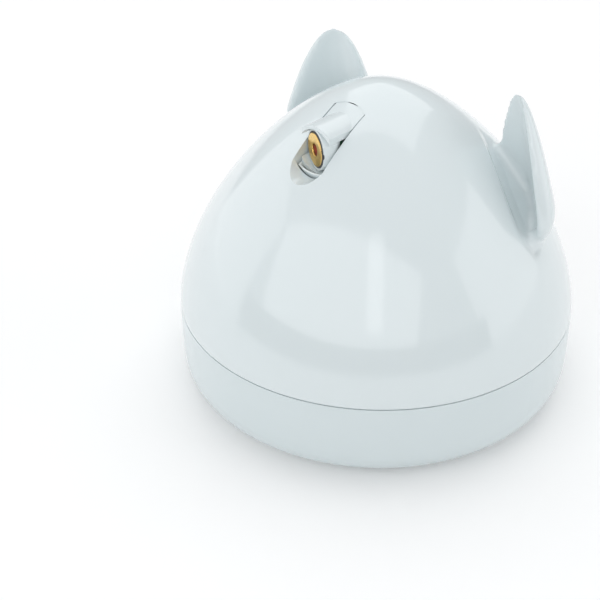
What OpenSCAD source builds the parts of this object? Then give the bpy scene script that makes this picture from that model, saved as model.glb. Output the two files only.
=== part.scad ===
// Automatic laser toy for cats: a round egg-shaped housing with two cupped ears.
// A short barrel nods in a slot in the forehead, and the laser swivels in the
// barrel. The front faces -Y, +Z is up, and the origin is on the floor at the
// middle of the feet. All sizes are in millimetres.

/* [Housing] */
// Radius of the housing at the seam between its two shells
shell_r = 60; // [56:0.5:66]
// Height of the seam above the floor
seam_z = 27.2; // [26.4:0.2:29]
// Height of the dome above the seam
dome_h = 68.5; // [66:0.5:74]
// Wall of both shells
wall = 2.4; // [1.8:0.1:3]
// Visible gap between the two shells
seam_gap = 0.4; // [0.2:0.1:0.8]
// Radius of the flat underside of the base
flat_r = 46; // [45:0.5:50]
// Height of the tongue that locates the dome on the base
tongue_h = 3; // [2:0.5:5]
// Wall of that tongue
tongue_t = 1.4; // [1:0.1:2]

/* [Ears] */
// Sideways place of an ear tip
ear_tip_x = 34.2; // [32:0.2:37]
// Place of the ear tips behind the middle
ear_tip_y = 16; // [13:0.5:19]
// Height of the ear tips above the seam
ear_tip_z = 70.6; // [64:0.2:75]
// Length of an ear from its tip to its root in the dome
ear_len = 32.5; // [30:0.5:34]
// Half width of an ear at its root
ear_w = 15.3; // [13:0.1:17]
// Half depth of an ear at its root
ear_d = 6.7; // [5:0.1:8]
// Turn of the ears towards the middle
ear_toe = 22; // [10:1:30]
// Outward lean of the ears
ear_lean = 13; // [5:1:20]

/* [Laser barrel] */
// Radius of the barrel
barrel_r = 7.4; // [7.3:0.05:7.6]
// Half width of the barrel, which is flat at its sides
barrel_half = 5.3; // [5.3:0.05:5.6]
// Wall of the barrel
barrel_wall = 1.1; // [1:0.05:1.15]
// Height of the barrel axis above the seam
barrel_h = 56.4; // [56:0.1:56.6]
// Place of the nodding axis in front of the middle
pivot_y = 15.5; // [15:0.1:16]
// Barrel length in front of the nodding axis
barrel_front = 10.4; // [10.2:0.1:10.8]
// Barrel length behind the nodding axis
barrel_rear = 6.4; // [6:0.1:6.6]
// Gap between the barrel and the slot at each side
slot_gap = 0.4; // [0.3:0.05:0.5]
// Depth of the beam trough under the barrel axis
trough_depth = 7.2; // [6.8:0.1:7.8]
// Radius of the trunnions that the barrel nods on
trunnion_r = 1.1; // [0.9:0.05:1.15]

/* [Laser ball] */
// Radius of the ball that holds the laser
ball_r = 6; // [5.9:0.05:6.1]
// Place of the ball centre in front of the nodding axis
ball_y = 8.2; // [8.1:0.1:8.5]
// Distance of the flat face from the ball centre
face_y = 1.5; // [1.2:0.1:1.6]
// Turn of the laser to the right of straight ahead, as it stands
rest_pan = 22; // [0:1:24]
// Radius of the collar at the front of the laser module
module_r = 4.75; // [4.2:0.05:4.8]
// How far that collar stands out of the flat face
collar_proud = 0.4; // [0.2:0.1:0.5]
// Length of that collar
collar_len = 3.8; // [3.2:0.1:3.8]
// Radius of the laser module behind its collar
module_body_r = 3.6; // [3:0.1:3.7]
// Length of the laser module
module_len = 6.1; // [5.4:0.1:6.2]
// Radius of the beam opening
beam_r = 1.7; // [1:0.1:2.2]

/* [Gears] */
// Tooth module of the nodding gear train
gear_m = 0.6; // [0.58:0.01:0.6]
// Tooth module of the swivel gears
pan_m = 0.5; // [0.48:0.01:0.5]
// Face width of a gear
gear_w = 1.8; // [1.4:0.1:2]
// Share of the tooth pitch that a tooth fills
tooth_share = 0.44; // [0.38:0.01:0.45]
// Radius of the gear axles
axle_r = 1; // [0.8:0.1:1.2]

/* [Mechanism frame] */
// Inner distance between the two side plates
frame_gap = 13.4; // [13.2:0.1:13.8]
// Thickness of a side plate
plate_t = 2; // [1.6:0.1:2.2]
// Radius of the posts between the side plates
post_r = 2.5; // [2.2:0.1:3]
// Radius of the motor can
motor_r = 7.8; // [7:0.1:8.2]
// Height of the motor can over its flats
motor_flat = 12; // [11:0.5:14]
// Length of the motor can
motor_len = 12.4; // [11:0.1:12.6]

/* [Power button] */
// Radius of the button cap
button_r = 6; // [5:0.5:7]
// Height of the button above the seam
button_z = 19; // [17:0.5:21]
// Upward tilt of the button axis
button_tilt = 24; // [20:1:28]
// Travel of the button
button_travel = 1; // [0.6:0.1:1.2]

/* [Batteries] */
// Diameter of a cell
cell_d = 14.5; // [14:0.1:14.5]
// Length of a cell
cell_len = 50.5; // [49:0.5:50.5]
// Number of cells
cells = 3; // [2:1:3]

/* [Fits] */
// Radial clearance of a running fit
run_fit = 0.05; // [0.03:0.01:0.08]
// Radial clearance of a screw in its hole
screw_fit = 0.1; // [0.05:0.01:0.15]

/* [Hidden] */
$fn = 96;
eps = 0.01;

// ---- housing profiles ----
foot_h = 1.2;                       // how far the feet stand out of the base
foot_r = 4;
foot_sink = 1.4;
foot_at = [[18, 37.5], [-18, 37.5], [18, -37.5], [-18, -37.5]];
floor_t = 3;
tongue_r = shell_r - wall - 0.3;
profile_n = 36;
dome_power_r = 1.72;                // the dome is a rounded superellipse
dome_power_z = 1.28;
dome_bulge = 0.042;
bowl_power = 8.4;
bowl_round = 0.446;

// A point of the dome outline, at angle a from its top
function dome_point(a) =
    let (z = dome_h * pow(cos(a), 2 / dome_power_z),
         r = shell_r * pow(sin(a), 2 / dome_power_r))
    [r * (1 + dome_bulge * sin(180 * z / dome_h)), z];
// A point of the bowl outline, at depth share s below the seam
function bowl_point(s) =
    [flat_r + (shell_r - flat_r) * pow(1 - pow(s, bowl_power), bowl_round),
     -(seam_z - foot_h) * s];
// An outline moved to its inner side by t
function inset(points, t) = [for (i = [0 : len(points) - 1])
    let (p = points[max(i - 1, 0)], q = points[min(i + 1, len(points) - 1)],
         d = (q - p) / norm(q - p))
    points[i] + t * [d[1], -d[0]]];
dome_outline = [for (i = [0 : profile_n]) dome_point(90 * i / profile_n)];
dome_inner = [for (p = inset(dome_outline, wall)) [max(p[0], 0), p[1]]];
bowl_outline = [for (i = [0 : profile_n]) bowl_point(sin(90 * i / profile_n))];
bowl_inner = [for (p = inset(bowl_outline, wall))
    if (p[1] > floor_t + foot_h - seam_z) p];

// The dome, or the hollow that lies one wall inside it
module dome_solid(inner = false) {
    pts = inner ? dome_inner : dome_outline;
    foot = inner ? -tongue_h : 0;
    translate([0, 0, seam_z]) rotate_extrude()
        polygon(concat([[0, pts[0][1]]], pts, [[pts[profile_n][0], foot], [0, foot]]));
}
// The bowl, or its hollow down to the floor
module bowl_solid(inner = false) {
    pts = inner ? bowl_inner : bowl_outline;
    top = inner ? tongue_h : 0;
    translate([0, 0, seam_z]) rotate_extrude()
        polygon(concat([[0, top], [pts[0][0], top]], pts,
            [[0, pts[len(pts) - 1][1]]]));
}
// The open seam between the shells, outside the tongue
module seam_ring() {
    translate([0, 0, seam_z - seam_gap / 2]) difference() {
        cylinder(h = seam_gap, r = shell_r + 5);
        translate([0, 0, -eps]) cylinder(h = seam_gap + 2 * eps, r = tongue_r);
    }
}

// ---- ears ----
ear_rings = 18;
ear_sides = 32;
ear_cup = 2.0;                      // depth of the hollow in front of an ear
ear_lip = 1.6;
ear_pitch = 6;                      // forward lean
// Section of an ear at share s of its length from the tip
function ear_section(s) =
    let (w = ear_w * sqrt(s), d = ear_d * sqrt(s))
    [for (k = [0 : ear_sides - 1])
        let (a = 360 * k / ear_sides, f = sin(a))
        [w * cos(a), f < 0 ? -d * f : -d * (ear_lip * f - ear_cup * f * f), -s * ear_len]];

// One ear as a cupped leaf, its tip at the origin, hanging along -Z, facing -Y
module ear_leaf() {
    shares = [for (i = [1 : ear_rings]) pow(i / ear_rings, 2)];
    rings = [for (s = shares) ear_section(s)];
    pts = concat([[0, 0, 0]], [for (r = rings) for (p = r) p], [[0, 0, -ear_len]]);
    last = 1 + (ear_rings - 1) * ear_sides;
    tip = [for (k = [0 : ear_sides - 1]) [0, 1 + k, 1 + (k + 1) % ear_sides]];
    root = [for (k = [0 : ear_sides - 1])
        [len(pts) - 1, last + (k + 1) % ear_sides, last + k]];
    side = [for (i = [0 : ear_rings - 2]) for (k = [0 : ear_sides - 1])
        let (a = 1 + i * ear_sides + k, b = 1 + i * ear_sides + (k + 1) % ear_sides,
             c = b + ear_sides, d = a + ear_sides)
        each [[a, d, b], [b, d, c]]];
    polyhedron(points = pts, faces = concat(tip, side, root), convexity = 6);
}
module ears() {
    for (s = [0, 1])
        mirror([s, 0, 0]) translate([ear_tip_x, ear_tip_y, seam_z + ear_tip_z])
            rotate([0, 0, -ear_toe]) rotate([-ear_pitch, ear_lean, 0]) ear_leaf();
}

// ---- barrel slot ----
barrel_z = seam_z + barrel_h;
pivot = [0, -pivot_y, barrel_z];
slot_half = barrel_half + slot_gap;
trough_wall = 1.6;
pan_hub_r = 2;
pan_top = -barrel_r - 0.5;          // upper face of the swivel gears, from the axis
pan_w = 1.4;
sweep_rear = norm([barrel_rear, barrel_r]) + slot_gap;
sweep_front = norm([ball_y + pan_hub_r, pan_w + 0.2 - pan_top]) + slot_gap;
// What lies from y0 to y1 of the nodding axis and no further than half_w to each side
module pivot_slab(y0, y1, half_w) {
    translate(pivot + [-half_w, y0, -shell_r]) cube([2 * half_w, y1 - y0, 2 * shell_r]);
}
// A trough along Y with a round floor, half_w wide to each side, from y0 forwards
module trough(half_w, depth, y0) {
    floor_r = half_w + 0.5;
    intersection() {
        translate(pivot + [0, y0, floor_r - depth]) rotate([90, 0, 0])
            cylinder(h = shell_r, r = floor_r);
        pivot_slab(y0 - shell_r, y0, half_w);
    }
    translate(pivot + [-half_w, y0 - shell_r, floor_r - depth])
        cube([2 * half_w, shell_r, shell_r]);
}
// The way that the barrel and its beam need through the dome
module slot_space() {
    trough(slot_half, trough_depth, 0);
    intersection() {
        translate(pivot) sphere(sweep_rear);
        pivot_slab(-sweep_rear, sweep_rear, slot_half);
    }
    intersection() {
        translate(pivot) sphere(sweep_front);
        pivot_slab(-sweep_front, 0, slot_half);
    }
}

// ---- screws and bosses ----
boss_r = 3.6;
screw_r = 1.3;
screw_hole_r = screw_r + screw_fit;
head_r = 2.4;
head_h = 1.4;
case_screw_at = [[32, 27], [-32, 27], [32, -27], [-32, -27]];
case_head_z = 2.6;
case_screw_len = 30;
tab_z = seam_z + barrel_h - 20.4;   // underside of the bosses that carry the frame
mount_at = [[17, -26], [-17, -26], [16, 25], [-16, 25]];
mount_screw_len = 8;
// A screw with its head on the origin and its shank along +Z
module screw(len) {
    cylinder(h = head_h, r = head_r);
    translate([0, 0, head_h - eps]) cylinder(h = len + eps, r = screw_r);
}

// ---- power button and circuit board, in a frame whose +Z points out of the dome ----
button_at = [0, 54.6, seam_z + button_z];
button_fit = 0.2;
sleeve_t = 1.4;
sleeve_end = -7;
flange_t = 1;
flange_r = 7.2;
cap_proud = 1;
board_face = -14;
board_t = 1.6;
board_w = 40;
board_h = 18;
board_screw_x = 15;
board_screw_len = 6;
switch_w = 6;
switch_h = 3.5;
plunger_r = 1.7;
plunger_len = 3.3;
module at_button() {
    translate(button_at) rotate([button_tilt - 90, 0, 0]) children();
}

module top_shell() {
    color("whitesmoke") difference() {
        union() {
            difference() {
                union() {
                    dome_solid();
                    ears();
                }
                dome_solid(inner = true);
            }
            intersection() {
                union() {
                    // walls of the trough, in front of the side plates
                    trough(slot_half + trough_wall, trough_depth + trough_wall,
                        -pivot_boss_r - 0.5);
                    for (p = case_screw_at)
                        translate([p[0], p[1], seam_z]) cylinder(h = dome_h, r = boss_r);
                    for (p = mount_at)
                        translate([p[0], p[1], tab_z]) cylinder(h = dome_h, r = boss_r);
                    at_button() {
                        for (s = [-1, 1])
                            translate([s * board_screw_x, 0, board_face])
                                cylinder(h = shell_r, r = boss_r - 0.8);
                        translate([0, 0, sleeve_end])
                            cylinder(h = 10, r = button_r + button_fit + sleeve_t);
                    }
                }
                dome_solid();
            }
        }
        slot_space();
        for (s = [0, 1])
            mirror([s, 0, 0]) disc_x(frame_gap / 2 - 0.4, -sector_x - frame_gap / 2 + 0.8,
                pivot_c, pivot_boss_r + 0.5);
        seam_ring();
        for (p = case_screw_at)
            translate([p[0], p[1], seam_z - eps])
                cylinder(h = case_screw_len + case_head_z - seam_z + 4, r = screw_hole_r);
        for (p = mount_at)
            translate([p[0], p[1], tab_z - eps])
                cylinder(h = mount_screw_len, r = screw_hole_r);
        at_button() {
            for (s = [-1, 1])
                translate([s * board_screw_x, 0, board_face - eps])
                    cylinder(h = board_screw_len, r = screw_hole_r);
            translate([0, 0, sleeve_end - 1])
                cylinder(h = 20, r = button_r + button_fit);
        }
    }
}

// ---- base and batteries ----
bay_w = cells * cell_d + 1;
bay_len = cell_len + 7.5;
bay_wall = 1.6;
door_t = 2;
door_fit = 0.3;
door_ledge = 1.6;
door_w = bay_w + 2 * door_ledge;
door_len = bay_len + 2 * door_ledge;
door_tab = [12, 6];
door_screw_y = -(door_len / 2 + 3);
hinge_pin_r = 0.6;
hinge_z = foot_h + door_t / 2;
hinge_y = door_len / 2 - door_t / 2;
hinge_pin_len = 2;
cell_z = foot_h + door_t + 0.3 + cell_d / 2;
bay_top = cell_z + cell_d / 2 + 0.4;
door_boss_h = 12;

// The plan of the battery door, or of its recess when it is grown by fit
module door_plan(fit) {
    translate([-door_w / 2 - fit, -door_len / 2 - fit])
        square([door_w + 2 * fit, door_len + 2 * fit - door_t / 2]);
    translate([-door_w / 2 - fit, door_len / 2 - door_t / 2 - eps])
        square([door_w + 2 * fit, (fit > 0 ? door_t / 2 + fit : 0) + eps]);
    translate([-door_tab[0] / 2 - fit, -door_len / 2 - door_tab[1] - fit])
        square([door_tab[0] + 2 * fit, door_tab[1] + 1]);
}

module base_shell() {
    color("gainsboro") difference() {
        union() {
            difference() {
                bowl_solid();
                bowl_solid(inner = true);
            }
            translate([0, 0, seam_z]) difference() {
                union() {
                    translate([0, 0, -tongue_h]) cylinder(h = 2 * tongue_h, r = tongue_r);
                    translate([0, 0, -tongue_h])
                        cylinder(h = tongue_h, r = tongue_r + wall / 2);
                }
                translate([0, 0, -tongue_h - eps])
                    cylinder(h = 2 * tongue_h + 2 * eps, r = tongue_r - tongue_t);
                translate([0, 0, -tongue_h - eps])
                    cylinder(h = tongue_t, r1 = tongue_r, r2 = tongue_r - tongue_t);
            }
            for (p = case_screw_at)
                translate([p[0], p[1], foot_h + eps])
                    cylinder(h = seam_z - foot_h - eps, r = boss_r + 0.8);
            translate([-bay_w / 2 - bay_wall, -bay_len / 2 - bay_wall, foot_h + 1])
                cube([bay_w + 2 * bay_wall, bay_len + 2 * bay_wall,
                    bay_top + bay_wall - foot_h - 1]);
            translate([0, door_screw_y, foot_h + 1])
                cylinder(h = door_boss_h, r = boss_r);
        }
        seam_ring();
        translate([-bay_w / 2, -bay_len / 2, 0]) cube([bay_w, bay_len, bay_top]);
        translate([0, 0, foot_h - eps]) linear_extrude(door_t + eps) door_plan(door_fit);
        for (s = [-1, 1])
            translate([s * (door_w / 2 + door_fit - eps), hinge_y, hinge_z])
                rotate([0, s * 90, 0])
                    cylinder(h = hinge_pin_len + 0.3, r = hinge_pin_r + run_fit);
        translate([0, door_screw_y, foot_h]) cylinder(h = door_boss_h - 1, r = screw_hole_r);
        for (p = foot_at)
            translate([p[0], p[1], foot_h - eps]) cylinder(h = foot_sink + eps, r = foot_r);
        for (p = case_screw_at) {
            translate([p[0], p[1], foot_h - eps])
                cylinder(h = case_head_z + head_h - foot_h + eps, r = head_r + 0.3);
            translate([p[0], p[1], foot_h]) cylinder(h = seam_z, r = screw_hole_r);
        }
    }
}

module battery_door() {
    color("gainsboro") difference() {
        union() {
            translate([0, 0, foot_h]) linear_extrude(door_t) door_plan(0);
            translate([-door_w / 2, hinge_y, hinge_z]) rotate([0, 90, 0])
                cylinder(h = door_w, r = door_t / 2);
            translate([-door_w / 2 - hinge_pin_len, hinge_y, hinge_z]) rotate([0, 90, 0])
                cylinder(h = door_w + 2 * hinge_pin_len, r = hinge_pin_r);
        }
        translate([0, door_screw_y, foot_h - eps]) {
            cylinder(h = head_h + eps, r = head_r + 0.2);
            cylinder(h = door_t + 1, r = screw_hole_r);
        }
    }
}

module door_screw() {
    color("silver") translate([0, door_screw_y, foot_h]) screw(5);
}

module batteries() {
    nub = 1.4;
    for (i = [0 : cells - 1])
        color("dimgray") translate([(i - (cells - 1) / 2) * cell_d, 0, cell_z])
            rotate([i % 2 == 0 ? 90 : -90, 0, 0]) {
                translate([0, 0, -cell_len / 2]) cylinder(h = cell_len - nub, r = cell_d / 2 - 0.05);
                translate([0, 0, cell_len / 2 - nub - eps]) cylinder(h = nub + eps, r = 2.7);
            }
}

module battery_contacts() {
    sheet = 0.5;
    reach = (bay_len - cell_len) / 2;
    for (i = [0 : cells - 1], s = [-1, 1]) {
        nub_end = i % 2 == 0 ? s < 0 : s > 0;
        color("silver") translate([(i - (cells - 1) / 2) * cell_d, s * bay_len / 2, cell_z])
            rotate([s * 90, 0, 0]) {
                translate([-5, -5, 0]) cube([10, 10, sheet]);
                translate([0, 0, sheet - eps])
                    if (nub_end) cylinder(h = reach - sheet + eps, r = 2.2);
                    else cylinder(h = reach - sheet + eps, r1 = 4.5, r2 = 3);
            }
    }
}

module rubber_feet() {
    for (p = foot_at)
        color("dimgray") translate([p[0], p[1], 0])
            cylinder(h = foot_h + foot_sink, r = foot_r);
}

module case_screws() {
    for (p = case_screw_at)
        color("silver") translate([p[0], p[1], case_head_z]) screw(case_screw_len);
}

// ---- gears ----
pressure = 25;
addendum = 0.8;
dedendum = 1.2;
sector_n = 56;
second_pinion_n = 10;
second_wheel_n = 32;
first_pinion_n = 10;
first_wheel_n = 36;
motor_n = 8;
pan_sector_n = 30;
pan_pinion_n = 10;
flank_n = 4;

// Angle between a point on an involute and its start, for pressure angle a
function involute(a) = tan(a) * 180 / PI - a;
// Half angle that a tooth fills at radius r
function tooth_half(n, r) =
    let (a = acos(min(1, n * cos(pressure) / 2 / r)))
    180 * tooth_share / n + involute(pressure) - involute(a);
// One tooth of an n-tooth gear of module 1, as points round angle 0
function tooth_points(n) =
    let (low = max(n / 2 * cos(pressure), n / 2 - dedendum), high = n / 2 + addendum,
         radii = [for (i = [0 : flank_n - 1]) low + (high - low) * i / (flank_n - 1)],
         root = n / 2 - dedendum)
    concat([[root, -tooth_half(n, low) - 90 / n * 0.15]],
        [for (r = radii) [r, -tooth_half(n, r)]],
        [for (i = [flank_n - 1 : -1 : 0]) [radii[i], tooth_half(n, radii[i])]],
        [[root, tooth_half(n, low) + 90 / n * 0.15]]);
// A gear outline with a tooth at angle phase
module gear_plan(n, m, phase) {
    polygon([for (k = [0 : n - 1]) for (p = tooth_points(n))
        let (a = phase + 360 * k / n + p[1]) m * p[0] * [cos(a), sin(a)]]);
}
// Phase of a gear that meshes with another, whose direction to it is line
function mesh_phase(phase, n, line, other_n) =
    line + 180 - (phase - line) * n / other_n + 180 / other_n;
// A wedge of a circle, from angle a to angle b
module wedge(r, a, b) {
    steps = 8;
    polygon(concat([[0, 0]],
        [for (i = [0 : steps]) let (t = a + (b - a) * i / steps) r * [cos(t), sin(t)]]));
}

// Centres of the gears in the plane of Y and Z
function beyond(p, d, a) = p + d * [cos(a), sin(a)];
sector_line = -50;
second_line = -52;
motor_line = -130;
pivot_c = [-pivot_y, barrel_z];
second_c = beyond(pivot_c, gear_m * (sector_n + second_pinion_n) / 2, sector_line);
first_c = beyond(second_c, gear_m * (second_wheel_n + first_pinion_n) / 2, second_line);
motor_c = beyond(first_c, gear_m * (first_wheel_n + motor_n) / 2, motor_line);

second_pinion_phase = mesh_phase(sector_line, sector_n, sector_line, second_pinion_n);
first_pinion_phase = mesh_phase(second_line, second_wheel_n, second_line, first_pinion_n);
motor_phase = mesh_phase(motor_line, first_wheel_n, motor_line, motor_n);

// Layers along X, on the right side of the frame
frame_x = -frame_gap / 2;
sector_x = frame_x - plate_t - 0.4 - gear_w;
second_wheel_x = sector_x - 0.8 - gear_w;
first_wheel_x = second_wheel_x - 1 - gear_w;
cover_x = first_wheel_x - 1.4;
cover_t = 1.6;
hub_r = 1.9;

// What lies in the plane of Y and Z, from x0 towards +X
module along_x(x0, len) {
    translate([x0, 0, 0]) rotate([90, 0, 90]) linear_extrude(len) children();
}
module disc_x(x0, len, c, r) {
    translate([x0, c[0], c[1]]) rotate([0, 90, 0]) cylinder(h = len, r = r);
}
// A bar with round ends between two points of a plane, its ends a touch wider than the bar
bar_step = 0.15;
module bar(p, q, r) {
    d = q - p;
    half = r - bar_step;
    translate(p) circle(r);
    translate(q) circle(r);
    translate(p) rotate(atan2(d[1], d[0])) translate([0, -half]) square([norm(d), 2 * half]);
}

post_at = [[-14.5, barrel_z - 28.3], [18, barrel_z - 18.3], [12.5, barrel_z - 37.8]];
post_bore = 9;
tab_t = 2;
front_tab = [mount_at[0][1], tab_z - 3.4];
rear_tab = [mount_at[2][1], tab_z - 3.4];
bush_r = trunnion_r + 0.45;
pivot_boss_r = bush_r + 0.65;
motor_boss_r = 2.5;
bar_r = 3.2;

// Outline of both side plates
module plate_plan() {
    bar(pivot_c, second_c, pivot_boss_r);
    bar(second_c, first_c, bar_r);
    bar(first_c, motor_c, bar_r);
    bar(front_tab, second_c, bar_r - 0.2);
    bar(front_tab, post_at[0], bar_r - 0.2);
    bar(rear_tab, post_at[1], bar_r - 0.2);
    bar(first_c, post_at[1], bar_r);
    bar(first_c, post_at[2], bar_r);
    bar(motor_c, post_at[0], bar_r);
    bar(motor_c, post_at[2], bar_r);
    translate(motor_c) circle(motor_r);
}
// Lug from a side plate out to the bosses of the dome
module tab(at) {
    x0 = frame_gap / 2 + 0.5;
    difference() {
        union() {
            translate([x0, at[1] - 3, tab_z - tab_t]) cube([abs(at[0]) - x0, 6, tab_t]);
            translate([abs(at[0]), at[1], tab_z - tab_t]) cylinder(h = tab_t, r = boss_r);
        }
        translate([abs(at[0]), at[1], tab_z - tab_t - eps])
            cylinder(h = tab_t + 2 * eps, r = screw_hole_r);
    }
}

module frame_left() {
    color("darkgray") difference() {
        union() {
            along_x(frame_gap / 2, plate_t) plate_plan();
            for (p = post_at) disc_x(frame_x, frame_gap + eps, p, post_r);
            tab(mount_at[0]);
            tab(mount_at[2]);
        }
        disc_x(frame_gap / 2 - eps, plate_t + 2 * eps, pivot_c, bush_r);
        for (p = post_at) disc_x(frame_x - eps, post_bore, p, screw_hole_r);
    }
}

module frame_right() {
    color("darkgray") difference() {
        union() {
            along_x(frame_x - plate_t, plate_t) plate_plan();
            mirror([1, 0, 0]) {
                tab(mount_at[0]);
                tab(mount_at[2]);
            }
        }
        disc_x(frame_x - plate_t - eps, plate_t + 2 * eps, pivot_c, bush_r);
        for (p = post_at)
            disc_x(frame_x - plate_t - eps, plate_t + 2 * eps, p, screw_hole_r);
        for (p = [second_c, first_c])
            disc_x(frame_x - plate_t - eps, plate_t + 2 * eps, p, axle_r);
        disc_x(frame_x - plate_t - eps, plate_t + 2 * eps, motor_c, motor_boss_r);
    }
}

module gear_cover() {
    spacer = frame_x - plate_t - cover_x;
    color("darkgray") difference() {
        union() {
            along_x(cover_x - cover_t, cover_t) {
                bar(second_c, first_c, bar_r);
                bar(first_c, motor_c, bar_r);
                bar(second_c, post_at[0], bar_r - 0.4);
                bar(motor_c, post_at[0], bar_r - 0.4);
                bar(first_c, post_at[1], bar_r - 0.4);
                bar(first_c, post_at[2], bar_r - 0.4);
            }
            for (p = post_at) disc_x(cover_x - eps, spacer + eps, p, post_r - 0.5);
        }
        for (p = post_at)
            disc_x(cover_x - cover_t - eps, spacer + cover_t + 2 * eps, p, screw_hole_r);
        for (p = [second_c, first_c])
            disc_x(cover_x - cover_t - eps, cover_t + 2 * eps, p, axle_r);
    }
}

module frame_screws() {
    len = frame_x - (cover_x - cover_t) + post_bore - 1;
    for (p = post_at)
        color("silver") translate([cover_x - cover_t - head_h, p[0], p[1]])
            rotate([0, 90, 0]) screw(len);
}

module mount_screws() {
    for (p = mount_at)
        color("silver") translate([p[0], p[1], tab_z - tab_t - head_h]) screw(mount_screw_len);
}

shaft_r = 0.75;
shaft_in = 3;
module tilt_motor() {
    color("silver") difference() {
        union() {
            intersection() {
                disc_x(frame_x, motor_len, motor_c, motor_r);
                translate([frame_x, motor_c[0] - motor_r, motor_c[1] - motor_flat / 2])
                    cube([motor_len, 2 * motor_r, motor_flat]);
            }
            disc_x(frame_x - plate_t, plate_t + eps, motor_c, motor_boss_r);
            disc_x(frame_x + motor_len - eps, frame_gap - motor_len + eps, motor_c, 3);
        }
        disc_x(frame_x - plate_t - eps, plate_t + shaft_in + eps, motor_c, shaft_r + run_fit);
    }
}
module motor_shaft() {
    color("lightgray")
        disc_x(first_wheel_x - 0.4, frame_x + shaft_in - first_wheel_x, motor_c, shaft_r);
}
module motor_pinion() {
    color("goldenrod") difference() {
        along_x(first_wheel_x - 0.2, gear_w + 0.4)
            translate(motor_c) gear_plan(motor_n, gear_m, motor_phase);
        disc_x(first_wheel_x - 1, gear_w + 2, motor_c, shaft_r);
    }
}

module first_gear() {
    start = cover_x + 0.2;
    color("ivory") difference() {
        union() {
            along_x(first_wheel_x, gear_w)
                translate(first_c) gear_plan(first_wheel_n, gear_m, motor_line);
            along_x(second_wheel_x - 0.2, gear_w + 0.4)
                translate(first_c) gear_plan(first_pinion_n, gear_m, first_pinion_phase);
            disc_x(start, frame_x - plate_t - 0.2 - start, first_c, hub_r);
        }
        disc_x(start - eps, -start, first_c, axle_r + run_fit);
    }
}
module second_gear() {
    start = second_wheel_x - 0.2;
    color("ivory") difference() {
        union() {
            along_x(second_wheel_x, gear_w)
                translate(second_c) gear_plan(second_wheel_n, gear_m, second_line);
            along_x(sector_x - 0.2, gear_w + 0.4)
                translate(second_c) gear_plan(second_pinion_n, gear_m, second_pinion_phase);
            disc_x(start, frame_x - plate_t - 0.2 - start, second_c, hub_r);
        }
        disc_x(start - eps, -start, second_c, axle_r + run_fit);
    }
}
module gear_axles() {
    start = cover_x - cover_t;
    for (c = [second_c, first_c])
        color("silver") disc_x(start, frame_x - start, c, axle_r);
    // collar that keeps the second gear in its layer
    color("silver") disc_x(second_wheel_x - 0.7, 0.4, second_c, hub_r);
}

module trunnion_bushes() {
    for (x0 = [frame_x - plate_t, frame_gap / 2])
        color("tan") difference() {
            disc_x(x0, plate_t, pivot_c, bush_r);
            disc_x(x0 - eps, plate_t + 2 * eps, pivot_c, trunnion_r + run_fit);
        }
}

// ---- nodding barrel ----
ball_c = [0, -pivot_y - ball_y, barrel_z];
ball_gap = 0.3;
bore_r = barrel_r - barrel_wall;
side_y = -2.4;                      // start of the side walls, from the nodding axis
shaft_pin_r = 1.2;
top_pin_r = 1;
pan_motor_r = 4;
pan_motor_h = 7;
pan_line = 90;
pan_motor_c = ball_c + [0, pan_m * (pan_sector_n + pan_pinion_n) / 2, 0];
shelf_t = 1.5;
shelf_top = pan_top - pan_w - 0.5;
leg_x = pan_m * (pan_pinion_n / 2 + addendum) + 0.4;

// Trunnion that reaches from a side wall of the barrel out to x1
module trunnion(x1) {
    side = barrel_half - barrel_wall / 2;
    disc_x(side, x1 - side, pivot_c, trunnion_r);
    disc_x(side, frame_gap / 2 - 0.3 - side, pivot_c, trunnion_r + 0.6);
}
module laser_barrel() {
    color("whitesmoke") difference() {
        union() {
            intersection() {
                translate(pivot + [0, barrel_rear, 0]) rotate([90, 0, 0])
                    cylinder(h = barrel_front + barrel_rear, r = barrel_r);
                pivot_slab(-barrel_front - 1, barrel_rear + 1, barrel_half);
            }
            trunnion(frame_gap / 2 + plate_t + 0.2);
            mirror([1, 0, 0]) trunnion(0.2 - sector_x);
            // two legs and a shelf that the small motor hangs from
            translate([0, pan_motor_c[1], barrel_z + shelf_top - shelf_t]) {
                for (s = [0, 1])
                    mirror([s, 0, 0]) translate([leg_x, -1.3, 0])
                        cube([barrel_half - leg_x, 3.4, -shelf_top + shelf_t - barrel_half]);
                translate([-barrel_half, -1.3, 0]) cube([2 * barrel_half, 3.4, shelf_t]);
                cylinder(h = shelf_t, r = pan_motor_r);
            }
        }
        // open at both sides of the ball, closed by side walls behind it
        translate(pivot + [0, side_y, 0]) rotate([90, 0, 0])
            cylinder(h = barrel_front, r = bore_r);
        intersection() {
            translate(pivot + [0, barrel_rear - barrel_wall, 0]) rotate([90, 0, 0])
                cylinder(h = barrel_front + barrel_rear, r = bore_r);
            pivot_slab(side_y - 1, barrel_rear, barrel_half - barrel_wall);
        }
        translate(ball_c + [0, 0, -barrel_r - 1])
            cylinder(h = barrel_r - 2, r = shaft_pin_r + run_fit);
        translate(ball_c) cylinder(h = barrel_r - 0.4, r = top_pin_r + run_fit);
        translate(pivot + [0, barrel_rear + 1, 4]) rotate([90, 0, 0]) cylinder(h = 4, r = 1.6);
        translate(pan_motor_c + [0, 0, shelf_top - shelf_t - 1])
            cylinder(h = shelf_t + 2, r = 0.9);
    }
}
module tilt_sector() {
    color("ivory") difference() {
        along_x(sector_x, gear_w) translate(pivot_c) {
            intersection() {
                gear_plan(sector_n, gear_m, sector_line);
                wedge(sector_n * gear_m, -93, -26);
            }
            circle(trunnion_r + 0.95);
        }
        disc_x(sector_x - eps, gear_w + 2 * eps, pivot_c, trunnion_r);
    }
}

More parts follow.
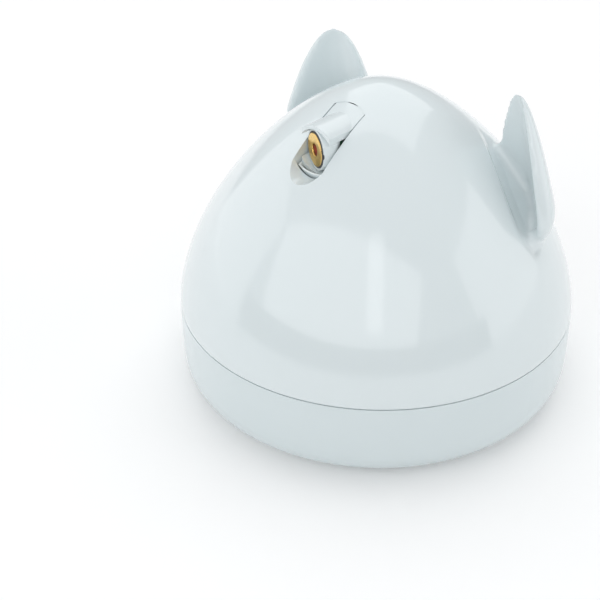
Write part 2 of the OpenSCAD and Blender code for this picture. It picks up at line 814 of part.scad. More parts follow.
// ---- laser ball, turned as it stands ----
module at_ball() {
    translate(ball_c) rotate([0, 0, -rest_pan]) children();
}
module_front = face_y + collar_proud;
module laser_ball() {
    color("whitesmoke") at_ball() difference() {
        union() {
            intersection() {
                sphere(ball_r);
                cylinder(h = 2 * ball_r, r = barrel_half, center = true);
                translate([-ball_r, -face_y, -ball_r])
                    cube([2 * ball_r, module_len - collar_proud, 2 * ball_r]);
            }
            translate([0, 0, module_r + 0.4])
                cylinder(h = barrel_r - 0.6 - module_r - 0.4, r = top_pin_r);
            translate([0, 0, pan_top - pan_w - 0.2])
                cylinder(h = -pan_top + pan_w + 0.2 - module_r - 0.4, r = shaft_pin_r);
        }
        rotate([90, 0, 0]) translate([0, 0, -10]) cylinder(h = 20, r = module_body_r);
        translate([0, collar_len - module_front, 0]) rotate([90, 0, 0])
            cylinder(h = 10, r = module_r);
    }
}
module laser_module() {
    color("goldenrod") at_ball() difference() {
        union() {
            translate([0, module_len - module_front, 0]) rotate([90, 0, 0])
                cylinder(h = module_len - 1, r = module_body_r);
            translate([0, collar_len - module_front, 0]) rotate([90, 0, 0])
                cylinder(h = collar_len - 0.3, r = module_r);
            translate([0, 0.3 - module_front + eps, 0]) rotate([90, 0, 0])
                cylinder(h = 0.3 + eps, r1 = module_r, r2 = module_r - 0.3);
        }
        translate([0, 3 - module_front, 0]) rotate([90, 0, 0]) cylinder(h = 4, r = beam_r);
    }
}
module laser_lens() {
    color("darkred") at_ball() translate([0, 3 - module_front, 0]) rotate([90, 0, 0])
        cylinder(h = 1.8, r = beam_r);
}
module laser_driver() {
    color("green") at_ball() translate([0, module_len - module_front + 1, 0])
        rotate([90, 0, 0]) cylinder(h = 1, r = module_body_r - 0.2);
}
module pan_sector() {
    color("ivory") translate(ball_c + [0, 0, pan_top - pan_w]) difference() {
        linear_extrude(pan_w) {
            intersection() {
                gear_plan(pan_sector_n, pan_m, pan_line);
                wedge(pan_sector_n * pan_m, 28, 108);
            }
            circle(pan_hub_r);
        }
        translate([0, 0, -eps]) cylinder(h = pan_w + 2 * eps, r = shaft_pin_r);
    }
}
module pan_motor() {
    top = shelf_top - shelf_t;
    color("silver") translate(pan_motor_c + [0, 0, top - pan_motor_h]) difference() {
        cylinder(h = pan_motor_h, r = pan_motor_r);
        translate([0, 0, pan_motor_h - 3]) cylinder(h = 4, r = 0.5 + run_fit);
    }
}
module pan_pinion() {
    phase = mesh_phase(pan_line, pan_sector_n, pan_line, pan_pinion_n);
    stem = shelf_t + 3;
    color("goldenrod") translate(pan_motor_c + [0, 0, pan_top - pan_w - 0.1]) {
        linear_extrude(pan_w + 0.2) gear_plan(pan_pinion_n, pan_m, phase);
        translate([0, 0, -stem]) cylinder(h = stem + pan_w, r = 0.5);
    }
}

// ---- circuit board and button ----
module circuit_board() {
    color("darkgreen") at_button() difference() {
        translate([-board_w / 2, -board_h / 2, board_face - board_t])
            cube([board_w, board_h, board_t]);
        for (s = [-1, 1])
            translate([s * board_screw_x, 0, board_face - board_t - eps])
                cylinder(h = board_t + 2 * eps, r = screw_hole_r);
    }
}
module tact_switch() {
    color("dimgray") at_button() difference() {
        translate([-switch_w / 2, -switch_w / 2, board_face])
            cube([switch_w, switch_w, switch_h]);
        translate([0, 0, sleeve_end - 2 * flange_t - plunger_len - button_travel])
            cylinder(h = plunger_len + 5, r = plunger_r + run_fit);
    }
}
module switch_plunger() {
    color("black") at_button() translate([0, 0, sleeve_end - 2 * flange_t - plunger_len])
        cylinder(h = plunger_len, r = plunger_r);
}
module board_screws() {
    for (s = [-1, 1])
        color("silver") at_button()
            translate([s * board_screw_x, 0, board_face - board_t - head_h])
                screw(board_screw_len + board_t - 1);
}
module power_button() {
    color("lightgray") at_button() {
        translate([0, 0, sleeve_end]) cylinder(h = cap_proud - sleeve_end, r = button_r);
        translate([0, 0, sleeve_end - flange_t]) cylinder(h = flange_t, r = flange_r);
        translate([0, 0, sleeve_end - 2 * flange_t]) cylinder(h = flange_t + eps, r = 2);
    }
}

top_shell();
base_shell();
battery_door();
door_screw();
batteries();
battery_contacts();
rubber_feet();
case_screws();
frame_left();
frame_right();
gear_cover();
frame_screws();
mount_screws();
tilt_motor();
motor_shaft();
motor_pinion();
first_gear();
second_gear();
gear_axles();
trunnion_bushes();
laser_barrel();
tilt_sector();
laser_ball();
laser_module();
laser_lens();
laser_driver();
pan_sector();
pan_motor();
pan_pinion();
circuit_board();
tact_switch();
switch_plunger();
board_screws();
power_button();
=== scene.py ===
"""Looks of an automatic laser toy for cats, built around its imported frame.

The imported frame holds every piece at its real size. This script gives the
housing its smooth moulded skin with the ears as photographed, details the
laser, and dresses every node in a procedural finish.
"""
import logging
import math
from dataclasses import dataclass
from enum import Enum
from typing import Iterable, Sequence

import bmesh
import bpy
from bmesh.types import BMEdge, BMesh, BMVert
from bpy.types import Material, Node, NodeSocket, NodeTree, Object
from mathutils import Matrix, Vector
from mathutils.bvhtree import BVHTree


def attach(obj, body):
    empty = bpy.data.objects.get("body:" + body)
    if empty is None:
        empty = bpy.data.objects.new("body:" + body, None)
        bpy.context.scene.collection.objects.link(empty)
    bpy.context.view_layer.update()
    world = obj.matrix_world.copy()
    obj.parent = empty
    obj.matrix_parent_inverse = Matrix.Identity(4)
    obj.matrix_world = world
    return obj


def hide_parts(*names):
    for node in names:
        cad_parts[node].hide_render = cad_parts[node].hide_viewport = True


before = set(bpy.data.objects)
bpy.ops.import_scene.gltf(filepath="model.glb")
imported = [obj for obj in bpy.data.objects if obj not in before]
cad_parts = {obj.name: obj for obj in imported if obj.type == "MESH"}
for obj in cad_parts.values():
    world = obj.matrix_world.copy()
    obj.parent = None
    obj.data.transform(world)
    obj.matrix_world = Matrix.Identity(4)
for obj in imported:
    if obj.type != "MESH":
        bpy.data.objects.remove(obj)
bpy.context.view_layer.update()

MM = 0.001
MERGE = 0.001 * MM
Pair, Triple = tuple[float, float], tuple[float, float, float]
LOG = logging.getLogger("laser_toy")


# ---- mesh tools ----

def mesh_from(bm: BMesh, name: str) -> Object:
    """Turn a bmesh into an object at the origin.

    Args:
        bm: The finished bmesh, which is freed.
        name: Name of the object and of its mesh.

    Returns:
        The new object, linked to the scene.
    """
    mesh = bpy.data.meshes.new(name)
    bm.to_mesh(mesh)
    bm.free()
    obj = bpy.data.objects.new(name, mesh)
    bpy.context.scene.collection.objects.link(obj)
    return obj


def taken(obj: Object) -> BMesh:
    """Turn an object back into a bmesh.

    Args:
        obj: The object, which is removed.

    Returns:
        Its mesh as a bmesh.
    """
    bm = bmesh.new()
    bm.from_mesh(obj.data)
    discard(obj)
    return bm


def discard(obj: Object) -> None:
    """Remove an object and its mesh."""
    mesh = obj.data
    bpy.data.objects.remove(obj)
    bpy.data.meshes.remove(mesh)


def clean(bm: BMesh) -> None:
    """Merge doubled points and turn all faces outwards."""
    bmesh.ops.remove_doubles(bm, verts=bm.verts[:], dist=MERGE)
    bmesh.ops.recalc_face_normals(bm, faces=bm.faces[:])


def sliced(bm: BMesh, point: Sequence[float], normal: Sequence[float]) -> list[BMEdge]:
    """Cut a bmesh with a plane and drop what lies on the side of its normal.

    Args:
        bm: The bmesh.
        point: A point of the plane.
        normal: The direction of the side that is dropped.

    Returns:
        The edges of the open rim.
    """
    cut = bmesh.ops.bisect_plane(bm, geom=bm.verts[:] + bm.edges[:] + bm.faces[:],
                                 plane_co=point, plane_no=normal, clear_outer=True)
    return [e for e in cut["geom_cut"] if isinstance(e, BMEdge)]


def spun(profile: Sequence[Pair], steps: int, closed: bool = False) -> BMesh:
    """Spin an outline of radius and height round the Z axis.

    Args:
        profile: Points (radius, height) in metres, from one end to the other.
        steps: Steps of the full turn.
        closed: Whether the last point joins the first, as for a ring.

    Returns:
        A closed bmesh with its faces turned outwards.
    """
    bm = bmesh.new()
    points = [bm.verts.new((r, 0.0, z)) for r, z in profile]
    pairs = list(zip(points, points[1:]))
    if closed:
        pairs.append((points[-1], points[0]))
    edges = [bm.edges.new(pair) for pair in pairs]
    bmesh.ops.spin(bm, geom=points + edges, cent=(0, 0, 0), axis=(0, 0, 1),
                   dvec=(0, 0, 0), angle=2 * math.pi, steps=steps, use_merge=True,
                   use_duplicate=False)
    clean(bm)
    bmesh.ops.holes_fill(bm, edges=bm.edges[:], sides=steps + 1)
    bmesh.ops.recalc_face_normals(bm, faces=bm.faces[:])
    return bm


def tube(outer: float, bore: float, low: float, high: float, steps: int) -> BMesh:
    """Build an open tube on the Z axis.

    Args:
        outer: Outer radius.
        bore: Inner radius.
        low: Height of its lower end.
        high: Height of its upper end.
        steps: Steps of the full turn.

    Returns:
        The closed solid.
    """
    return spun([(outer, low), (outer, high), (bore, high), (bore, low)], steps, closed=True)


def rod(radius: float, low: float, high: float, steps: int) -> BMesh:
    """Build a round rod on the Z axis, from height low to height high."""
    return spun([(0, low), (radius, low), (radius, high), (0, high)], steps)


def rounded(profile: Sequence[Pair], radius: float) -> list[Pair]:
    """Round the corners of an open outline.

    Args:
        profile: Corner points of the outline.
        radius: Largest radius; a corner takes less where its sides are short.

    Returns:
        The outline with an arc in place of each inner corner.
    """
    out = [profile[0]]
    steps, share = 4, 2.02
    for before, corner, after in zip(profile, profile[1:], profile[2:]):
        a, c, b = Vector(before), Vector(corner), Vector(after)
        reach = min(radius, (a - c).length / share, (b - c).length / share)
        start, end = c + (a - c).normalized() * reach, c + (b - c).normalized() * reach
        for i in range(steps + 1):
            t = i / steps
            out.append(tuple(start.lerp(c, t).lerp(c.lerp(end, t), t)))
    out.append(profile[-1])
    return out


def prism(outline: Sequence[Pair], height: float) -> BMesh:
    """Extrude an outline of the XY plane upwards.

    Args:
        outline: Points of the outline.
        height: Height of the prism.

    Returns:
        The closed solid.
    """
    bm = bmesh.new()
    face = bm.faces.new([bm.verts.new((x, y, 0.0)) for x, y in outline])
    grown = bmesh.ops.extrude_face_region(bm, geom=[face])
    tops = [v for v in grown["geom"] if isinstance(v, BMVert)]
    bmesh.ops.translate(bm, verts=tops, vec=(0, 0, height))
    bmesh.ops.recalc_face_normals(bm, faces=bm.faces[:])
    return bm


def placed(bm: BMesh, matrix: Matrix) -> BMesh:
    """Move a bmesh by a matrix and hand it back."""
    bmesh.ops.transform(bm, matrix=matrix, verts=bm.verts[:])
    return bm


def joined(parts: Iterable[BMesh]) -> BMesh:
    """Put several bmeshes into one.

    Args:
        parts: The bmeshes, which are freed.

    Returns:
        One bmesh with all of their faces.
    """
    whole = bmesh.new()
    for part in parts:
        mesh = bpy.data.meshes.new("part")
        part.to_mesh(mesh)
        part.free()
        whole.from_mesh(mesh)
        bpy.data.meshes.remove(mesh)
    return whole


class Cut(Enum):
    """How one solid works on another."""
    TAKE = "DIFFERENCE"
    KEEP = "INTERSECT"
    ADD = "UNION"


def settle(obj: Object) -> None:
    """Apply the modifiers of an object to its mesh."""
    depsgraph = bpy.context.evaluated_depsgraph_get()
    mesh = bpy.data.meshes.new_from_object(obj.evaluated_get(depsgraph))
    old = obj.data
    obj.modifiers.clear()
    obj.data = mesh
    bpy.data.meshes.remove(old)


def combine(obj: Object, tool: BMesh, how: Cut) -> None:
    """Cut an object with a solid, or join them.

    Args:
        obj: The object that is changed.
        tool: The closed solid, which is freed.
        how: What the solid does to the object.
    """
    cutter = mesh_from(tool, obj.name + "_tool")
    change = obj.modifiers.new("cut", "BOOLEAN")
    change.object = cutter
    change.operation = how.value
    change.solver = "EXACT"
    settle(obj)
    discard(cutter)


def bevel_sharp(bm: BMesh, width: float, angle: float) -> None:
    """Bevel the sharp edges of a bmesh.

    Args:
        bm: The bmesh.
        width: Width of the bevel in metres.
        angle: Edges whose faces turn by more than this, in degrees, are bevelled.
    """
    edges = [e for e in bm.edges if len(e.link_faces) == 2
             and e.calc_face_angle(0.0) > math.radians(angle)]
    bmesh.ops.bevel(bm, geom=edges, offset=width, offset_type="OFFSET", affect="EDGES",
                    segments=2, profile=0.5, material=-1, clamp_overlap=True)


# ---- shared effects, as node groups ----

class Sheet:
    """A small helper that lays nodes into a tree and links them."""

    def __init__(self, tree: NodeTree) -> None:
        """Start with a tree, which is cleared."""
        self.tree = tree
        tree.nodes.clear()

    def node(self, kind: str, **values: object) -> Node:
        """Add a node, set its attributes and fill or link its inputs.

        Args:
            kind: Type name of the node.
            values: Attributes by name, or inputs: by name with an underscore for
                each space, or by number after an underscore. A socket as value
                is linked to the input.

        Returns:
            The new node.
        """
        new = self.tree.nodes.new(kind)
        for name, value in values.items():
            if hasattr(new, name):
                setattr(new, name, value)
                continue
            target = new.inputs[int(name[1:]) if name[0] == "_" else name.replace("_", " ")]
            if isinstance(value, NodeSocket):
                self.tree.links.new(value, target)
            else:
                target.default_value = value
        return new


class Effect(Enum):
    """Names of the effects that several finishes share."""
    GRAIN = "moulded_grain"
    FLOW = "flow_marks"
    BRUSH = "brushed_lines"


def new_group(effect: Effect, numbers: dict[str, float],
              results: Sequence[str]) -> tuple[Sheet, Sequence[NodeSocket]]:
    """Start the node group of an effect.

    Args:
        effect: The effect.
        numbers: Default of each number that goes in, beside the place.
        results: Names of the numbers that come out.

    Returns:
        The sheet of the group and the sockets of what goes in.
    """
    tree = bpy.data.node_groups.new(effect.value, "ShaderNodeTree")
    sheet = Sheet(tree)
    tree.interface.new_socket("Vector", in_out="INPUT", socket_type="NodeSocketVector")
    for label, default in numbers.items():
        socket = tree.interface.new_socket(label, in_out="INPUT", socket_type="NodeSocketFloat")
        socket.default_value = default
    for label in results:
        tree.interface.new_socket(label, in_out="OUTPUT", socket_type="NodeSocketFloat")
    return sheet, sheet.node("NodeGroupInput").outputs


def build_effects() -> None:
    """Build the node groups that the finishes share."""
    grain, given = new_group(Effect.GRAIN, {"Scale": 2500.0, "Depth": 0.5}, ("Mask", "Height"))
    fine = grain.node("ShaderNodeTexNoise", Detail=3.0, Roughness=0.6,
                      Vector=given["Vector"], Scale=given["Scale"])
    scale = grain.node("ShaderNodeMath", operation="MULTIPLY", _0=given["Scale"], _1=0.35)
    coarse = grain.node("ShaderNodeTexVoronoi", feature="SMOOTH_F1",
                        Vector=given["Vector"], Scale=scale.outputs[0])
    mix = grain.node("ShaderNodeMath", operation="MULTIPLY_ADD",
                     _0=coarse.outputs["Distance"], _1=0.5, _2=fine.outputs[0])
    depth = grain.node("ShaderNodeMath", operation="MULTIPLY",
                       _0=mix.outputs[0], _1=given["Depth"])
    grain.node("NodeGroupOutput", Mask=fine.outputs[0], Height=depth.outputs[0])

    flow, given = new_group(Effect.FLOW, {"Scale": 18.0, "Spread": 0.5}, ("Mask",))
    cloud = flow.node("ShaderNodeTexNoise", Detail=2.0, Roughness=0.45, Distortion=0.6,
                      Vector=given["Vector"], Scale=given["Scale"])
    level = flow.node("ShaderNodeMapRange", Value=cloud.outputs[0], From_Min=0.3, From_Max=0.7)
    share = flow.node("ShaderNodeMath", operation="MULTIPLY",
                      _0=level.outputs[0], _1=given["Spread"])
    flow.node("NodeGroupOutput", Mask=share.outputs[0])

    brush, given = new_group(Effect.BRUSH, {"Scale": 900.0, "Depth": 0.3}, ("Mask", "Height"))
    stretch = brush.node("ShaderNodeMapping", Vector=given["Vector"], Scale=(1.0, 1.0, 0.06))
    lines = brush.node("ShaderNodeTexNoise", Detail=4.0, Roughness=0.7,
                       Vector=stretch.outputs[0], Scale=given["Scale"])
    depth = brush.node("ShaderNodeMath", operation="MULTIPLY",
                       _0=lines.outputs[0], _1=given["Depth"])
    brush.node("NodeGroupOutput", Mask=lines.outputs[0], Height=depth.outputs[0])


def new_material(name: str) -> tuple[Material, Sheet]:
    """Start a material and return it with the sheet of its tree."""
    material = bpy.data.materials.new(name)
    material.use_nodes = True
    return material, Sheet(material.node_tree)


@dataclass(frozen=True)
class Finish:
    """A finish whose colour, roughness and relief vary over the surface.

    Attributes:
        name: Name of the material.
        light: Base colour in the lighter flow marks.
        dark: Base colour in the darker flow marks.
        rough: Least and greatest roughness.
        relief: Height of the surface grain in metres.
        effect: The effect that makes the grain.
        grain_scale: Scale of the grain.
        flow_scale: Scale of the colour change.
        metal: Metallic share.
        coat: Weight of a clear coat.
        sheen: Weight of a dusty sheen.
    """
    name: str
    light: Triple
    dark: Triple
    rough: Pair
    relief: float = 2e-6
    effect: Effect = Effect.GRAIN
    grain_scale: float = 2500.0
    flow_scale: float = 18.0
    metal: float = 0.0
    coat: float = 0.0
    sheen: float = 0.0

    def build(self) -> Material:
        """Build the material.

        Returns:
            The material with its node tree.
        """
        material, sheet = new_material(self.name)
        place = sheet.node("ShaderNodeTexCoord")
        mapping = sheet.node("ShaderNodeMapping", Vector=place.outputs["Object"])
        groups = bpy.data.node_groups
        flow = sheet.node("ShaderNodeGroup", node_tree=groups[Effect.FLOW.value],
                          Vector=mapping.outputs[0], Scale=self.flow_scale, Spread=1.0)
        grain = sheet.node("ShaderNodeGroup", node_tree=groups[self.effect.value],
                           Vector=mapping.outputs[0], Scale=self.grain_scale, Depth=1.0)
        colour = sheet.node("ShaderNodeMix", data_type="RGBA", _0=flow.outputs["Mask"],
                            _6=(*self.light, 1), _7=(*self.dark, 1))
        rough = sheet.node("ShaderNodeMapRange", Value=grain.outputs["Mask"],
                           To_Min=self.rough[0], To_Max=self.rough[1])
        bump = sheet.node("ShaderNodeBump", Strength=1.0, Distance=self.relief,
                          Height=grain.outputs["Height"])
        shader = sheet.node("ShaderNodeBsdfPrincipled", Base_Color=colour.outputs[2],
                            Roughness=rough.outputs[0], Normal=bump.outputs[0],
                            Metallic=self.metal, IOR=1.5, Coat_Weight=self.coat,
                            Coat_Roughness=0.04, Sheen_Weight=self.sheen)
        sheet.node("ShaderNodeOutputMaterial", Surface=shader.outputs[0])
        return material


@dataclass(frozen=True)
class PaintedGlowLens:
    """The red glass of the laser, with a painted glow: it emits its own light, brightest at its
    middle, though no lamp shines through it.

    Attributes:
        name: Name of the material.
        glass: Colour of the glass.
        glow: Colour of the painted glow in it.
        strength: Strength of the painted glow.
        centre: Middle of the lens.
        radius: Radius at which the painted glow has faded.
    """
    name: str
    glass: Triple
    glow: Triple
    strength: float
    centre: Triple
    radius: float

    def build(self) -> Material:
        """Build the material.

        Returns:
            The material with its node tree.
        """
        material, sheet = new_material(self.name)
        place = sheet.node("ShaderNodeTexCoord")
        # Painted glow: emission brightest at the lens middle and fading outwards, though no
        # lamp lights the glass.
        away = sheet.node("ShaderNodeVectorMath", operation="DISTANCE",
                          _0=place.outputs["Object"], _1=self.centre)
        fade = sheet.node("ShaderNodeMapRange", Value=away.outputs["Value"],
                          From_Max=self.radius, To_Min=1.0, To_Max=0.0)
        colour = sheet.node("ShaderNodeMix", data_type="RGBA", _0=fade.outputs[0],
                            _6=(*self.glass, 1), _7=(*self.glow, 1))
        shader = sheet.node("ShaderNodeBsdfPrincipled", Base_Color=colour.outputs[2],
                            Emission_Color=colour.outputs[2], Roughness=0.35,
                            Specular_IOR_Level=0.2, Emission_Strength=self.strength)
        sheet.node("ShaderNodeOutputMaterial", Surface=shader.outputs[0])
        return material


class Finishes:
    """All finishes of the toy, built once."""

    def __init__(self) -> None:
        """Build the shared effects and every material."""
        build_effects()
        specs = [
            Finish("dome_white", (0.735, 0.800, 0.815), (0.720, 0.788, 0.803), (0.10, 0.15),
                   relief=1.0e-6, grain_scale=1200.0, coat=0.35),
            Finish("base_white", (0.690, 0.762, 0.778), (0.675, 0.750, 0.766), (0.20, 0.28),
                   relief=2.0e-6, grain_scale=1800.0, coat=0.10),
            Finish("barrel_white", (0.735, 0.800, 0.815), (0.720, 0.788, 0.803), (0.10, 0.16),
                   relief=1.0e-6, grain_scale=2200.0, flow_scale=60.0, coat=0.3),
            Finish("button_grey", (0.640, 0.665, 0.672), (0.615, 0.640, 0.650), (0.24, 0.34),
                   relief=4.0e-6, grain_scale=3000.0, flow_scale=90.0),
            Finish("frame_grey", (0.115, 0.118, 0.125), (0.095, 0.098, 0.104), (0.42, 0.58),
                   relief=8.0e-6, grain_scale=2600.0, flow_scale=60.0),
            Finish("gear_ivory", (0.780, 0.755, 0.660), (0.745, 0.715, 0.615), (0.32, 0.42),
                   relief=3.0e-6, grain_scale=2600.0, flow_scale=120.0),
            Finish("bush_tan", (0.520, 0.420, 0.270), (0.470, 0.375, 0.235), (0.38, 0.50),
                   relief=4.0e-6, flow_scale=150.0),
            Finish("steel", (0.620, 0.620, 0.625), (0.560, 0.562, 0.570), (0.22, 0.36),
                   relief=3.0e-6, effect=Effect.BRUSH, grain_scale=1600.0, metal=1.0),
            Finish("motor_steel", (0.560, 0.555, 0.545), (0.500, 0.497, 0.490), (0.28, 0.42),
                   relief=5.0e-6, effect=Effect.BRUSH, grain_scale=900.0, metal=1.0),
            Finish("brass", (0.880, 0.610, 0.210), (0.800, 0.520, 0.160), (0.14, 0.26),
                   relief=4.0e-6, effect=Effect.BRUSH, grain_scale=2400.0, flow_scale=160.0,
                   metal=1.0),
            Finish("rubber_black", (0.030, 0.030, 0.032), (0.045, 0.045, 0.047), (0.62, 0.80),
                   relief=14.0e-6, grain_scale=1500.0, flow_scale=60.0, sheen=0.15),
            Finish("cell_wrap", (0.028, 0.032, 0.040), (0.020, 0.024, 0.032), (0.14, 0.24),
                   relief=3.0e-6, flow_scale=40.0, coat=0.3),
            Finish("board_green", (0.020, 0.120, 0.055), (0.016, 0.095, 0.043), (0.25, 0.38),
                   relief=5.0e-6, grain_scale=900.0, flow_scale=140.0, coat=0.2),
            Finish("switch_black", (0.022, 0.022, 0.023), (0.032, 0.032, 0.034), (0.34, 0.48),
                   relief=5.0e-6, flow_scale=160.0),
        ]
        self.materials = {spec.name: spec.build() for spec in specs}

    def __getitem__(self, name: str) -> Material:
        """Return the material of that name."""
        return self.materials[name]

    def add(self, material: Material) -> Material:
        """Keep one more material and hand it back."""
        self.materials[material.name] = material
        return material


# ---- pieces ----

def dress(node: str, material: Material) -> None:
    """Give a CAD node its finish.

    Args:
        node: Name of the node.
        material: The finish.
    """
    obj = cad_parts[node]
    if not obj.material_slots:
        obj.data.materials.append(material)
    for place in obj.material_slots:
        place.material = material
    LOG.info("dressed %s in %s", node, material.name)


def finish_piece(obj: Object, material: Material, body: str,
                 stands_for: Sequence[str] = (), sharp: float = 35.0) -> None:
    """Shade a new piece and tie it to the frame.

    Args:
        obj: The piece.
        material: Its finish.
        body: The body that it moves with.
        stands_for: The CAD nodes that it stands for.
        sharp: Edges that turn by more than this, in degrees, stay sharp.
    """
    obj.data.materials.clear()
    obj.data.materials.append(material)
    obj.data.shade_smooth()
    obj.data.set_sharp_from_angle(angle=math.radians(sharp))
    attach(obj, body)
    if stands_for:
        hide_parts(*stands_for)
    LOG.info("built %s, %d faces", obj.name, len(obj.data.polygons))


@dataclass
class Laser:
    """Sizes of the nodding barrel and of the swivelling laser in it, in metres.

    The angles are in degrees: rest_pan is how far the laser stands turned to the
    object's right, and the apron reaches from apron_top to apron_foot below level.
    """
    pivot_y: float = -15.5 * MM
    axis_z: float = 83.6 * MM
    ball_ahead: float = 8.2 * MM
    rest_pan: float = 22.0
    half_width: float = 5.3 * MM
    barrel_r: float = 7.4 * MM
    rear: float = 6.4 * MM
    slot_gap: float = 0.4 * MM
    trough_depth: float = 7.2 * MM
    trough_wall: float = 1.6 * MM
    trough_slack: float = 0.5 * MM
    trough_reach: Pair = (45 * MM, 30 * MM)
    boss_clear: float = 2.7 * MM
    sweep_front: float = 14.34 * MM
    face: float = 1.5 * MM
    proud: float = 0.4 * MM
    collar_r: float = 4.75 * MM
    collar_len: float = 3.8 * MM
    body_r: float = 3.6 * MM
    length: float = 6.1 * MM
    beam_r: float = 1.7 * MM
    beam_deep: float = 2.6 * MM
    collar_round: float = 0.28 * MM
    lens_gap: float = 0.02 * MM
    lens_back: float = 2.7 * MM
    lens_rim: float = 0.35 * MM
    lens_dip: float = 0.5 * MM
    lens_round: float = 0.2 * MM
    glow_r: float = 1.8 * MM
    # Sizes of the painted-shade ring round the collar, which stands in for the shadowed gap.
    gap_shade_in: float = 0.1 * MM
    gap_shade_out: float = 0.42 * MM
    gap_shade_half: float = 0.3 * MM
    crown_gap: float = 0.25 * MM
    crown_sink: float = 0.5 * MM
    crown_bevel: float = 0.15 * MM
    crown_cover: float = 0.12 * MM
    apron_gap: float = 0.34 * MM
    apron_side: float = 0.1 * MM
    apron_skin: float = 0.5 * MM
    apron_root: float = 11.8 * MM
    apron_top: float = 24.0
    apron_foot: float = 62.0

    @property
    def pivot(self) -> Vector:
        """Return the middle of the nodding axis."""
        return Vector((0, self.pivot_y, self.axis_z))

    @property
    def ball(self) -> Vector:
        """Return the middle of the ball."""
        return self.pivot - Vector((0, self.ball_ahead, 0))

    @property
    def slot_half(self) -> float:
        """Return half the width of the slot."""
        return self.half_width + self.slot_gap

    @property
    def sweep_rear(self) -> float:
        """Return the reach of the slot behind the nodding axis."""
        return math.hypot(self.rear, self.barrel_r) + self.slot_gap

    def facing(self) -> Matrix:
        """Return the matrix that turns a form spun on Z to face out of the ball."""
        turn = Matrix.Rotation(-math.radians(self.rest_pan), 4, "Z")
        return Matrix.Translation(self.ball) @ turn @ Matrix.Rotation(math.pi / 2, 4, "X")

    def ahead(self, start: float = 0.0) -> Matrix:
        """Return the matrix that lays Z forwards from start in front of the pivot."""
        return (Matrix.Translation(self.pivot - Vector((0, start, 0)))
                @ Matrix.Rotation(math.pi / 2, 4, "X"))

    def across(self) -> Matrix:
        """Return the matrix that lays Z along the nodding axis."""
        return Matrix.Translation(self.pivot) @ Matrix.Rotation(math.pi / 2, 4, "Y")

    def trough(self, half: float, depth: float, start: float) -> BMesh:
        """Build a trough with a round floor, from start forwards.

        Args:
            half: Half its width.
            depth: Depth of its floor under the barrel axis.
            start: Where it starts in front of the nodding axis.

        Returns:
            The closed solid.
        """
        floor = half + self.trough_slack
        low, steps = math.asin(half / floor), 16
        length, top = self.trough_reach
        arc = [(floor * math.sin(low * (i / steps - 1)), floor - depth
                - floor * math.cos(low * (i / steps - 1))) for i in range(2 * steps + 1)]
        return placed(prism(arc + [(half, top), (-half, top)], length), self.ahead(start))

    def sweep(self, radius: float, front: bool, margin: float) -> BMesh:
        """Build the round space that the barrel sweeps.

        Args:
            radius: Radius about the nodding axis.
            front: Whether it is only the half in front of that axis.
            margin: How much wider than the slot it is at each side.

        Returns:
            The closed solid.
        """
        bm = bmesh.new()
        bmesh.ops.create_uvsphere(bm, u_segments=96, v_segments=48, radius=radius)
        half = self.slot_half + margin
        planes = [((half, 0, 0), (1, 0, 0)), ((-half, 0, 0), (-1, 0, 0))]
        if front:
            planes.append(((0, 0, 0), (0, 1, 0)))
        for point, normal in planes:
            bmesh.ops.contextual_create(bm, geom=sliced(bm, point, normal))
        bmesh.ops.recalc_face_normals(bm, faces=bm.faces[:])
        return placed(bm, Matrix.Translation(self.pivot))

    def slot_space(self, margin: float = 0.0) -> BMesh:
        """Build the way of the barrel and the beam through the dome.

        Args:
            margin: How much wider than the slot it is at each side.

        Returns:
            The closed solid.
        """
        way = mesh_from(self.trough(self.slot_half + margin, self.trough_depth + margin, 0.0),
                        "slot_way")
        combine(way, self.sweep(self.sweep_front + margin, True, margin), Cut.ADD)
        combine(way, self.sweep(self.sweep_rear + margin, False, margin), Cut.ADD)
        return taken(way)

    def build_module(self, finishes: Finishes) -> None:
        """Build the brass laser module.

        Args:
            finishes: The finishes.
        """
        front = self.face + self.proud
        back, step, seat = front - self.length, front - self.collar_len, front - self.beam_deep
        outline = [(0.0, back), (self.body_r, back), (self.body_r, step), (self.collar_r, step),
                   (self.collar_r, front), (self.beam_r, front), (self.beam_r, seat),
                   (0.0, seat)]
        bm = placed(spun(rounded(outline, self.collar_round), 96), self.facing())
        finish_piece(mesh_from(bm, "laser_brass"), finishes["brass"], "ball",
                     ["laser_module"], 30)

    def build_window(self, finishes: Finishes) -> None:
        """Build the red window in the module's beam opening.

        Args:
            finishes: The finishes, to which the glass with its painted glow is added.
        """
        front, side = self.face + self.proud, self.beam_r - self.lens_gap
        lens = [(0.0, front - self.lens_back), (side, front - self.lens_back),
                (side, front - self.lens_rim), (0.0, front - self.lens_dip)]
        bm = placed(spun(rounded(lens, self.lens_round), 64), self.facing())
        piece = mesh_from(bm, "laser_window")
        centre = self.facing() @ Vector((0, 0, front - self.lens_dip))
        # The glass is given a painted glow: an emission brightest at its middle.
        glow = finishes.add(PaintedGlowLens("lens_red_painted_glow", (0.045, 0.001, 0.002), (0.22, 0.003, 0.003),
                                     0.30, tuple(centre), self.glow_r).build())
        finish_piece(piece, glow, "ball", ["laser_lens"], 30)

    def build_gap_shade(self, finishes: Finishes) -> None:
        """Build a dark ring round the module's collar: painted shade that stands in for the
        shadowed gap there, in the black rubber finish.

        Args:
            finishes: The finishes.
        """
        # Painted shade: a black ring round the collar where there is only a shadowed gap.
        inner, outer = self.collar_r - self.gap_shade_in, self.collar_r + self.gap_shade_out
        gap_shade = [(inner, self.face - self.gap_shade_half), (outer, self.face - self.gap_shade_half),
                (outer, self.face + self.gap_shade_in), (inner, self.face + self.gap_shade_half)]
        piece = mesh_from(placed(spun(gap_shade, 96, closed=True), self.facing()), "laser_gap_shade")
        finish_piece(piece, finishes["rubber_black"], "ball", (), 30)

